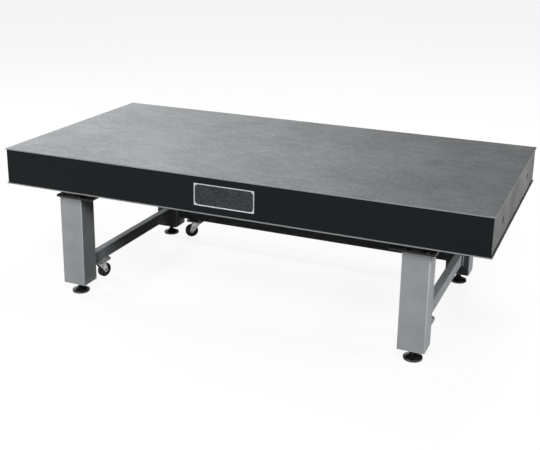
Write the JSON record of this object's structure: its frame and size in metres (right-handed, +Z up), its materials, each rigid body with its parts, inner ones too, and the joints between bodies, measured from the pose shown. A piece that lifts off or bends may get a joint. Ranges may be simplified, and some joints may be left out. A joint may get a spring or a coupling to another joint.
{
  "type": "vibration isolation table",
  "caption": "Long steel table with a honeycomb-cored top on rubber isolators, a grey tube frame with an open front, levelling feet and swivel casters.",
  "frame": {"origin": "on the floor, under the middle of the table top", "axes": "+X to the right along the long front, -Y towards the front, +Z up"},
  "size_m": [2.4, 1.2, 0.75],
  "materials": {
    "top_steel": "brushed",
    "core_steel": "satin",
    "black_panel": "semi-gloss",
    "block_steel": "satin",
    "plate_field": "satin",
    "black_plate": "satin",
    "isolator_rubber": "matte",
    "frame_grey": "semi-gloss",
    "foot_black": "satin",
    "zinc": "satin",
    "black_steel": "black oxide",
    "fork_zinc": "bright",
    "wheel_rubber": "matte"
  },
  "bodies": {
    "frame": {"leg_fl": "frame_grey", "leg_fr": "frame_grey", "leg_rl": "frame_grey", "leg_rr": "frame_grey", "left_side_rail": "frame_grey", "right_side_rail": "frame_grey", "rear_rail": "frame_grey", "isolator_base_plate_fl": "black_plate", "isolator_base_plate_fr": "black_plate", "isolator_base_plate_rl": "black_plate", "isolator_base_plate_rr": "black_plate", "isolator_base_bolts": "black_steel", "isolator_rubber_fl": "isolator_rubber", "isolator_rubber_fr": "isolator_rubber", "isolator_rubber_rl": "isolator_rubber", "isolator_rubber_rr": "isolator_rubber", "lock_nuts": "black_steel", "caster_plate_fl": "zinc", "caster_plate_fr": "zinc", "caster_plate_rl": "zinc", "caster_plate_rr": "zinc", "caster_bolts": "zinc", "caster_kingpins": "zinc", "caster_balls": "zinc"},
    "table_top": {"top_skin": "top_steel", "bottom_skin": "top_steel", "honeycomb_core": "core_steel", "front_panel": "black_panel", "rear_panel": "black_panel", "left_panel": "black_panel", "right_panel": "black_panel", "lifting_blocks": "block_steel", "name_plate": "plate_field", "isolator_top_plate_fl": "black_plate", "isolator_top_plate_fr": "black_plate", "isolator_top_plate_rl": "black_plate", "isolator_top_plate_rr": "black_plate", "isolator_top_bolts": "black_steel"},
    "foot_fl": {"foot_base_fl": "foot_black", "foot_stud_fl": "black_steel"},
    "foot_fr": {"foot_base_fr": "foot_black", "foot_stud_fr": "black_steel"},
    "foot_rl": {"foot_base_rl": "foot_black", "foot_stud_rl": "black_steel"},
    "foot_rr": {"foot_base_rr": "foot_black", "foot_stud_rr": "black_steel"},
    "swivel_fl": {"caster_fork_fl": "fork_zinc", "caster_axle_fl": "zinc"},
    "wheel_fl": {"caster_wheel_fl": "wheel_rubber"},
    "swivel_fr": {"caster_fork_fr": "fork_zinc", "caster_axle_fr": "zinc"},
    "wheel_fr": {"caster_wheel_fr": "wheel_rubber"},
    "swivel_rl": {"caster_fork_rl": "fork_zinc", "caster_axle_rl": "zinc"},
    "wheel_rl": {"caster_wheel_rl": "wheel_rubber"},
    "swivel_rr": {"caster_fork_rr": "fork_zinc", "caster_axle_rr": "zinc"},
    "wheel_rr": {"caster_wheel_rr": "wheel_rubber"}
  },
  "joints": [
    {"name": "table_float", "type": "slide", "parent": "frame", "child": "table_top", "axis": [0, 0, 1], "range_m": [-0.004, 0.003], "stiffness_N_per_m": 791080, "springref_m": 0.005, "deforming": ["isolator_rubber_fl", "isolator_rubber_fr", "isolator_rubber_rl", "isolator_rubber_rr"]},
    {"name": "foot_fl_height", "type": "slide", "parent": "frame", "child": "foot_fl", "axis": [0, 0, 1], "range_m": [-0.02, 0.015]},
    {"name": "foot_fr_height", "type": "slide", "parent": "frame", "child": "foot_fr", "axis": [0, 0, 1], "range_m": [-0.02, 0.015]},
    {"name": "foot_rl_height", "type": "slide", "parent": "frame", "child": "foot_rl", "axis": [0, 0, 1], "range_m": [-0.02, 0.015]},
    {"name": "foot_rr_height", "type": "slide", "parent": "frame", "child": "foot_rr", "axis": [0, 0, 1], "range_m": [-0.02, 0.015]},
    {"name": "swivel_fl_turn", "type": "hinge", "parent": "frame", "child": "swivel_fl", "pos_m": [-0.875, -0.3005, 0.087], "axis": [0, 0, 1], "continuous": true},
    {"name": "swivel_fr_turn", "type": "hinge", "parent": "frame", "child": "swivel_fr", "pos_m": [0.875, -0.3005, 0.087], "axis": [0, 0, 1], "continuous": true},
    {"name": "swivel_rl_turn", "type": "hinge", "parent": "frame", "child": "swivel_rl", "pos_m": [-0.7025, 0.4775, 0.087], "axis": [0, 0, 1], "continuous": true},
    {"name": "swivel_rr_turn", "type": "hinge", "parent": "frame", "child": "swivel_rr", "pos_m": [0.7025, 0.4775, 0.087], "axis": [0, 0, 1], "continuous": true},
    {"name": "wheel_fl_spin", "type": "hinge", "parent": "swivel_fl", "child": "wheel_fl", "pos_m": [-0.86723, -0.27152, 0.0425], "axis": [-0.9659, 0.2588, 0], "continuous": true},
    {"name": "wheel_fr_spin", "type": "hinge", "parent": "swivel_fr", "child": "wheel_fr", "pos_m": [0.86979, -0.27096, 0.0425], "axis": [-0.9848, -0.1736, 0], "continuous": true},
    {"name": "wheel_rl_spin", "type": "hinge", "parent": "swivel_rl", "child": "wheel_rl", "pos_m": [-0.72794, 0.4616, 0.0425], "axis": [0.5299, -0.848, 0], "continuous": true},
    {"name": "wheel_rr_spin", "type": "hinge", "parent": "swivel_rr", "child": "wheel_rr", "pos_m": [0.67431, 0.46724, 0.0425], "axis": [0.342, -0.9397, 0], "continuous": true}
  ]
}
